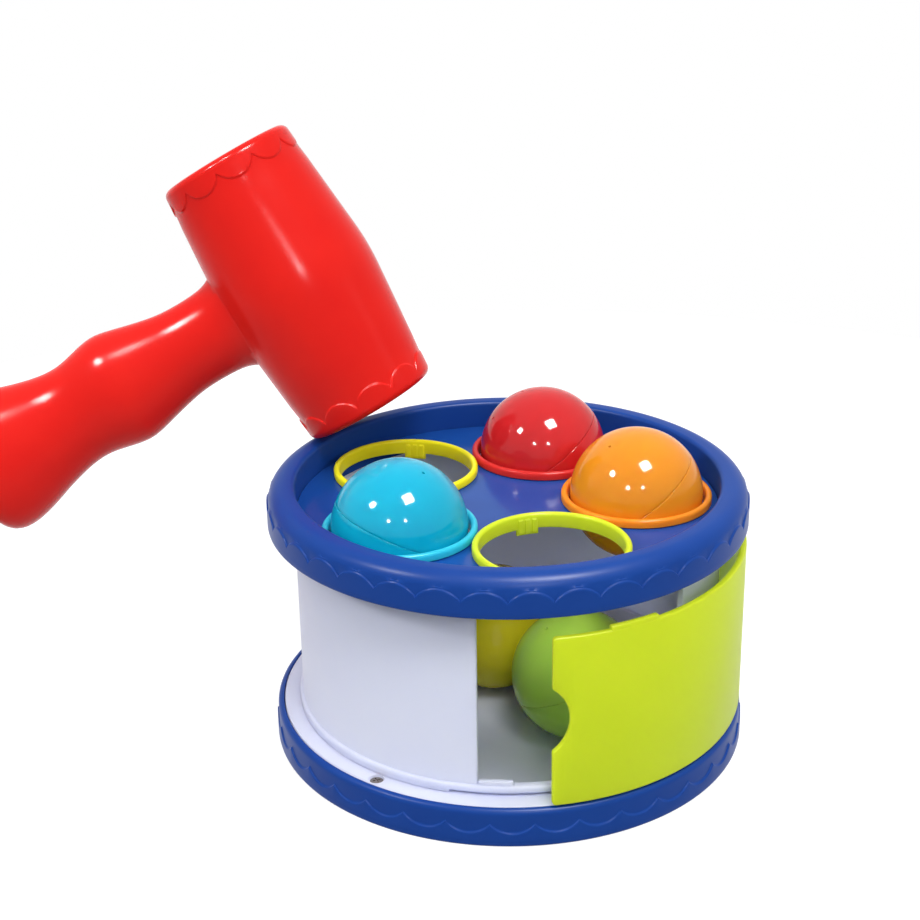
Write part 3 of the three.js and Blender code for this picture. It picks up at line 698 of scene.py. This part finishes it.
# %% [markdown]
# ## The sprung collars
# Each collar is a rounded bead on the deck with a short skirt through the hole. Three tabs hang from
# the skirt, each with three upright ribs that grip the ball. One collar is modelled on the axis of
# the drum, and five copies are turned so that a tab points at the middle.

# %% Collar
COLLAR_INNER = 25.95
COLLAR_OUTER = 26.95
BEAD_OUTER = 28.35
BEAD_BOTTOM = 93.3
BEAD_TOP = 96.5
SKIRT_BOTTOM = 90.7
TAB_BOTTOM = 88.4
TAB_WIDTH = 8.5
RIB_INNER = 25.5
RIB_WIDTH = 1.6
RIB_PITCH = 2.7
RIB_BOTTOM = 88.9
RIB_TOP = 95.4
RIB_FOOT_SLOPE = 0.5
RIB_HEAD_SLOPE = 1.1
RIB_ROOT = 0.4
TAB_INSET = 0.05
TAB_ROOT = 0.5
TAB_ROUND = 0.4
BEAD_CHAMFER = 0.2
SKIRT_CHAMFER = 0.3
COLLAR_STEPS = 120
TAB_STEPS = 8
RIB_STEPS = 3
bead_round = (BEAD_OUTER - COLLAR_INNER) / 2
collar_section = ring_section(
    [(BEAD_OUTER - BEAD_CHAMFER, BEAD_BOTTOM), (BEAD_OUTER, BEAD_BOTTOM + BEAD_CHAMFER)]
    + rounding((COLLAR_INNER + bead_round, BEAD_TOP - bead_round), bead_round, 0, 180, 12)
    + [(COLLAR_INNER, SKIRT_BOTTOM + SKIRT_CHAMFER), (COLLAR_INNER + SKIRT_CHAMFER, SKIRT_BOTTOM)]
    + [(COLLAR_OUTER - SKIRT_CHAMFER, SKIRT_BOTTOM), (COLLAR_OUTER, SKIRT_BOTTOM + SKIRT_CHAMFER)]
    + [(COLLAR_OUTER, BEAD_BOTTOM)]
)
rib_section = ring_section([
    (RIB_INNER, RIB_BOTTOM + RIB_FOOT_SLOPE), (COLLAR_INNER + RIB_ROOT, RIB_BOTTOM),
    (COLLAR_INNER + RIB_ROOT, RIB_TOP), (RIB_INNER, RIB_TOP - RIB_HEAD_SLOPE)])
collar = turned("collar", collar_section, COLLAR_STEPS)
degrees_per_mm = 180 / math.pi / COLLAR_INNER
tab_sweep = TAB_WIDTH * degrees_per_mm
rib_sweep = RIB_WIDTH * degrees_per_mm
for third in (0, 120, 240):
    tab = band("tab", COLLAR_INNER - TAB_INSET, COLLAR_OUTER - TAB_INSET, TAB_BOTTOM, BEAD_BOTTOM + TAB_ROOT,
               TAB_STEPS, third - tab_sweep / 2, tab_sweep)
    soften(tab, TAB_ROUND, 2, sharper_than=50)
    combine(collar, tab, "UNION")
    for k in (-1, 0, 1):
        middle = third + k * RIB_PITCH * degrees_per_mm
        rib = turned("rib", rib_section, RIB_STEPS, middle - rib_sweep / 2, rib_sweep)
        combine(collar, rib, "UNION")
for colour, bearing in STATION_BEARINGS.items():
    ring = copy_of(collar, f"sprung_collar_{colour}")
    put(ring, Matrix.Translation(at_bearing(PITCH_RADIUS, bearing, 0))
        @ Matrix.Rotation(math.radians(bearing + 180), 4, "Z"))
    dress(ring, "drum", collar_gloss[colour], f"gloss_{colour}", f"collar_{colour}")
bpy.data.objects.remove(collar)

# %% [markdown]
# ## The balls
# A ball is moulded as two half shells that meet at a seam, and one of them has two small vents near its
# pole. Each half is spun from a quarter of a circle with a wall, its seam edge is rounded so that the
# joint shows as a fine groove, and both halves are then leaned as the ball lies.

# %% Ball halves
BALL_RADIUS = 25.0
BALL_WALL = 1.6
SEAM = 0.05
SEAM_ROUND = 0.25
SEAM_LAND = 0.4
BALL_STEPS = 128
VENT_RADIUS = 0.6
VENT_PIN_ENDS = (20, 28)
VENT_STEPS = 20
inner_radius = BALL_RADIUS - BALL_WALL
seam_radius = BALL_RADIUS - SEAM_ROUND
seam_angle = math.degrees(math.asin((SEAM + SEAM_ROUND) / seam_radius))
seam_middle = (seam_radius * math.cos(math.radians(seam_angle)), SEAM + SEAM_ROUND)
shell_section = ring_section(
    [(inner_radius, SEAM)]
    + rounding(seam_middle, SEAM_ROUND, -90, seam_angle, 4)
    + rounding((0, 0), BALL_RADIUS, seam_angle + 2, 90, 32)
    + rounding((0, 0), inner_radius, 90, 2, 20)[:-1]
    + [(inner_radius, SEAM + SEAM_LAND)]
)
ball_half = turned("ball_half", shell_section, BALL_STEPS)
vent_pin = disc("vent_pin", VENT_RADIUS, *VENT_PIN_ENDS, VENT_STEPS)
# Half with the vents, and the way to one of them from the ball's middle. The other lies across the pole.
VENTS = {
    "lime": ("cap", (-0.472, -0.156, 0.868)),
    "orange": ("cap", (-0.42, -0.296, 0.858)),
    "red": ("cap", (-0.265, 0.137, 0.954)),
    "yellow": ("cup", (0.3, 0.9, 0.3)),
    "cyan": ("cap", (0.381, -0.136, 0.914)),
}
VENT_LEAN = math.radians(19)


def cad_ball(colour):
    lows, highs = zip(*(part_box(f"ball_{colour}_{half}") for half in ("cap", "cup")))
    middle = Vector([(min(l[i] for l in lows) + max(h[i] for h in highs)) / 2 for i in range(3)])
    cap = frame["nodes"][f"ball_{colour}_cap"]
    points = [cap.matrix_world @ v.co for v in cap.data.vertices]
    pole = max(points, key=lambda p: sum((p - middle).dot(q - middle) for q in points)) - middle
    return middle, pole.normalized()


# %% Balls at rest
for colour in STATION_BEARINGS:
    middle, pole = cad_ball(colour)
    lean = Vector((0, 0, 1)).rotation_difference(pole).to_matrix().to_4x4()
    vented, vent_way = VENTS[colour]
    for half, turn in (("cap", 0), ("cup", 180)):
        flip = Matrix.Rotation(math.radians(turn), 4, "X")
        shell = copy_of(ball_half, f"ball_shell_{colour}_{half}")
        if half == vented:
            across = (lean @ flip).to_3x3().inverted() @ Vector(vent_way)
            spread = math.atan2(across.y, across.x)
            for side in (VENT_LEAN, -VENT_LEAN):
                vent = copy_of(vent_pin, "vent")
                put(vent, Matrix.Rotation(spread, 4, "Z") @ Matrix.Rotation(side, 4, "Y"))
                combine(shell, vent, "DIFFERENCE")
        put(shell, Matrix.Translation(middle) @ lean @ flip)
        dress(shell, f"{colour}_ball", ball_gloss[colour], f"gloss_{colour}", f"ball_{colour}_{half}")
    print(colour, "ball at", [round(v / MM, 1) for v in middle], "pole", [round(v, 2) for v in pole])
for pattern in (ball_half, vent_pin):
    bpy.data.objects.remove(pattern)

# %% [markdown]
# ## The mallet
# The mallet is one blow moulding. Its barrel head is turned, with a scalloped lip at both ends, and
# the handle grows ring by ring from an ellipse that swells for the grip. The two are joined by a
# boolean, in a frame where the striking face is at the origin, and then leaned as the toy lies.

# %% Mallet head
HEAD_LENGTH = 112
HEAD_END = 27.3
HEAD_WAIST = 31.8
HEAD_EDGE = 3.0
WAIST_BLEND = 9
BLEND_STEPS = 5
LIP_LOBES = 11
LIP_CUSP = 4.7
LIP_RISE = 5.3
LIP_STEP = 0.55
LIP_PHASE = -2.5
half_length = HEAD_LENGTH / 2
barrel_end = HEAD_END - LIP_STEP
taper = (HEAD_WAIST - barrel_end) / half_length
lip_rows = border_rows(HEAD_EDGE + ROW_PITCH - half_length)
blend = [WAIST_BLEND * (1 - i / BLEND_STEPS) for i in range(BLEND_STEPS + 1)]
barrel_half = (
    [(0, -half_length)]
    + rounding((HEAD_END - HEAD_EDGE, HEAD_EDGE - half_length), HEAD_EDGE, -90, 0, 6)
    + [(barrel_end, height) for height in lip_rows]
    + [(HEAD_WAIST - taper * below, -below) for below in (40, 30, 20, 10)]
    + [(HEAD_WAIST - taper * (WAIST_BLEND / 2 + below ** 2 / (2 * WAIST_BLEND)), -below)
       for below in blend]
)
mallet = turned("blown_mallet", barrel_half, LIP_LOBES * LOBE_COLUMNS)
carve_border(mallet, barrel_end, lip_rows, LIP_CUSP - half_length, LIP_RISE, LIP_PHASE, 1,
             LIP_LOBES, LIP_STEP, taper)
apply(mallet, "MIRROR", use_axis=(False, False, True), merge_threshold=MERGE_DISTANCE)
put(mallet, Matrix.Translation((0, 0, half_length * MM)))
close_up(mallet)
print("barrel faces", len(mallet.data.polygons))

# %% Mallet handle
HANDLE_FLATNESS = 0.78
# Reach from the head's axis, and half the height there
HANDLE_RINGS = [
    (0, 24), (24, 23.5), (28, 21), (31, 19.2), (34, 18), (38, 17.3), (46, 17), (54, 17.3),
    (60, 18.3), (67, 19.9), (74, 21.7), (79, 22.9), (83, 23.4), (88, 22.8), (94, 21.4), (99, 20.3),
    (104, 20), (110, 20.6), (117, 22.2), (124, 24.2), (130, 26.3), (136, 28), (141, 29), (146, 29.2),
    (150, 28), (152.6, 25), (154.2, 20), (155, 11),
]
HANDLE_STEPS = 96
settle()
bpy.ops.mesh.primitive_circle_add(vertices=HANDLE_STEPS, radius=HANDLE_RINGS[0][1] * MM, fill_type="NGON")
handle = bpy.context.object
open_for_edit(handle)
bpy.ops.transform.resize(value=(1, HANDLE_FLATNESS, 1), center_override=(0, 0, 0))
for (reach, half), (next_reach, next_half) in zip(HANDLE_RINGS, HANDLE_RINGS[1:]):
    bpy.ops.mesh.extrude_region_move(TRANSFORM_OT_translate={"value": (0, 0, (next_reach - reach) * MM)})
    grow = next_half / half
    bpy.ops.transform.resize(value=(grow, grow, 1), center_override=(0, 0, next_reach * MM))
close_up(handle)
apply(handle, "SUBSURF", levels=1, render_levels=1)
put(handle, Matrix.Translation((0, 0, half_length * MM)) @ Matrix.Rotation(-math.pi / 2, 4, "Y"))
combine(mallet, handle, "UNION")
print("mallet faces", len(mallet.data.polygons))

# %% Mallet in its place
MALLET_ORIGIN = (-53.567, 43.349, 115.793)
MALLET_LEAN = math.radians(-10)
MALLET_TILT = math.radians(-29.65)
put(mallet, Matrix.Translation(Vector(MALLET_ORIGIN) * MM) @ Matrix.Rotation(MALLET_LEAN, 4, "X")
    @ Matrix.Rotation(MALLET_TILT, 4, "Y"))
dress(mallet, "mallet", blown_red, "red_mallet", "mallet", crease=45)

# %% [markdown]
# ## Floor and light
# The toy stands in a white studio. The floor is a pale sheet that keeps a soft shadow, and the camera
# and the mirrored rays see it and the world as white through the Light Path node, so no extra light
# falls on the toy. Four square softboxes shade it, and square windows make the glints.

# %% Floor
FLOOR_RADIUS = 550
FLOOR_STEPS = 96


def backdrop_rays(tree):
    rays = add_node(tree, "ShaderNodeLightPath")
    mirrored = add_node(tree, "ShaderNodeMath", [
        (0, rays.outputs["Is Glossy Ray"]),
        (1, rays.outputs["Is Transmission Ray"]),
    ], operation="MAXIMUM")
    seen = add_node(tree, "ShaderNodeMath", [
        (0, rays.outputs["Is Camera Ray"]),
        (1, mirrored.outputs[0]),
    ], operation="MAXIMUM")
    return seen.outputs[0]


settle()
bpy.ops.mesh.primitive_circle_add(vertices=FLOOR_STEPS, radius=FLOOR_RADIUS * MM, fill_type="NGON")
floor = bpy.context.object
floor.name = "studio_floor"
paper = bpy.data.materials.new("white_studio_paper")
paper.use_nodes = True
tree = paper.node_tree
tree.nodes.clear()
matte = add_node(tree, "ShaderNodeBsdfDiffuse", Color=linear("#a4a4a6"))
glow = add_node(tree, "ShaderNodeEmission", [("Strength", backdrop_rays(tree))], Color=linear("#e2e2e2"))
both = add_node(tree, "ShaderNodeAddShader", [(0, matte.outputs[0]), (1, glow.outputs[0])])
add_node(tree, "ShaderNodeOutputMaterial", [("Surface", both.outputs[0])])
floor.data.materials.append(paper)
print("floor radius", FLOOR_RADIUS, "mm")

# %% World
HORIZON_LIGHT = 0.2
ZENITH_LIGHT = 1.25
BACKDROP_LIGHT = 1.0
world = bpy.data.worlds.new("white_studio")
bpy.context.scene.world = world
world.use_nodes = True
tree = world.node_tree
tree.nodes.clear()
sight = add_node(tree, "ShaderNodeTexCoord").outputs["Generated"]
way = add_node(tree, "ShaderNodeSeparateXYZ", [("Vector", sight)])
dome = add_node(tree, "ShaderNodeMapRange", [("Value", way.outputs["Z"])],
                interpolation_type="SMOOTHSTEP", To_Min=HORIZON_LIGHT, To_Max=ZENITH_LIGHT)
level = add_node(tree, "ShaderNodeMapRange", [
    ("Value", backdrop_rays(tree)),
    ("To Min", dome.outputs["Result"]),
], To_Max=BACKDROP_LIGHT)
sky = add_node(tree, "ShaderNodeBackground", [("Strength", level.outputs["Result"])],
               Color=linear("#ffffff"))
add_node(tree, "ShaderNodeOutputWorld", [("Surface", sky.outputs[0])])
print("sky from", HORIZON_LIGHT, "to", ZENITH_LIGHT)

# %% Lamps
DRUM_MIDDLE = Vector((0, 0, 110)) * MM
ball_shells = [piece for piece in bpy.context.scene.objects if piece.name.startswith("ball_shell")]
# Direction in the camera's axes (right, up, back), then distance and side in metres and power in
# watts of each square lamp
SOFTBOXES = {
    "key_softbox": ((0.14, 0.588, 0.797), 1.3, 0.36, 6.2),
    "left_softbox": ((-0.785, 0.378, 0.48), 1.2, 0.16, 3.2),
    "right_softbox": ((0.9, 0.25, 0.36), 1.2, 0.3, 1.6),
    "camera_softbox": ((0.153, 0.155, 0.976), 0.9, 0.2, 0.8),
}
WINDOWS = {
    "key_window": ((0.217, 0.722, 0.656), 1.3, 0.36, 60),
    "left_window": ((-0.663, 0.513, 0.545), 1.2, 0.16, 16),
    "left_glint": ((-0.3, 0.15, 0.942), 1.2, 0.07, 6),
    "camera_glint": ((0.153, 0.155, 0.976), 0.9, 0.05, 3),
    "handle_window": ((-0.39, 0.68, 0.62), 1.2, 0.16, 16),
}
# Lamps that only some pieces mirror
SPOTTED = {"left_glint": ball_shells, "handle_window": [mallet]}


def add_lamp(name, direction, distance, side, power):
    settle()
    bpy.ops.object.light_add(type="AREA")
    lamp = bpy.context.object
    lamp.name = name
    lamp.data.shape = "SQUARE"
    lamp.data.size = side
    lamp.data.energy = power
    way = aim.to_3x3() @ Vector(direction).normalized()
    lamp.matrix_world = (Matrix.Translation(DRUM_MIDDLE + way * distance)
                         @ way.to_track_quat("Z", "Y").to_matrix().to_4x4())
    return lamp


for name, settings in SOFTBOXES.items():
    add_lamp(name, *settings).visible_glossy = False
for name, settings in WINDOWS.items():
    lamp = add_lamp(name, *settings)
    lamp.visible_diffuse = False
    if name in SPOTTED:
        lamp.light_linking.receiver_collection = bpy.data.collections.new(f"{name}_pieces")
        for piece in SPOTTED[name]:
            lamp.light_linking.receiver_collection.objects.link(piece)
print("lamps", len(SOFTBOXES) + len(WINDOWS))

# %% Colour
bpy.context.scene.view_settings.view_transform = "Standard"
settle()
